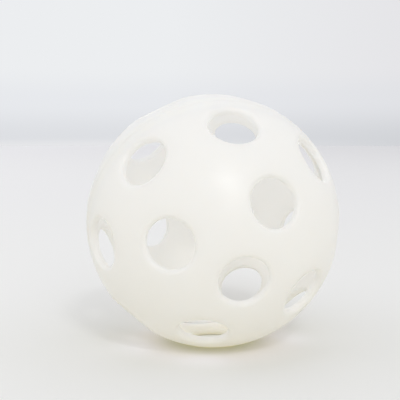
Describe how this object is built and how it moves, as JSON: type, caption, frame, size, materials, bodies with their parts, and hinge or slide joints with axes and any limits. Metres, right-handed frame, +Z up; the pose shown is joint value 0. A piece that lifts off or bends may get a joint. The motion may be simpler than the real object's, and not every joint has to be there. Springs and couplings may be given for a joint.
{
  "type": "floorball ball",
  "caption": "Hollow plastic floorball ball: two equal half shells with round holes all over, welded edge to edge, for stick play on hard floors.",
  "frame": {"origin": "centre of the ball", "axes": "+Z up as the ball lies on the rim of one hole that faces straight down; -Y towards the side the picture was taken from"},
  "size_m": [0.0719, 0.072, 0.0711],
  "materials": {
    "shell": "satin, slightly translucent polyethylene",
    "weld": "trimmed weld of the same polyethylene"
  },
  "bodies": {
    "root": {"front_half_shell": "shell", "rear_half_shell": "shell", "weld_bead": "weld"}
  },
  "joints": []
}
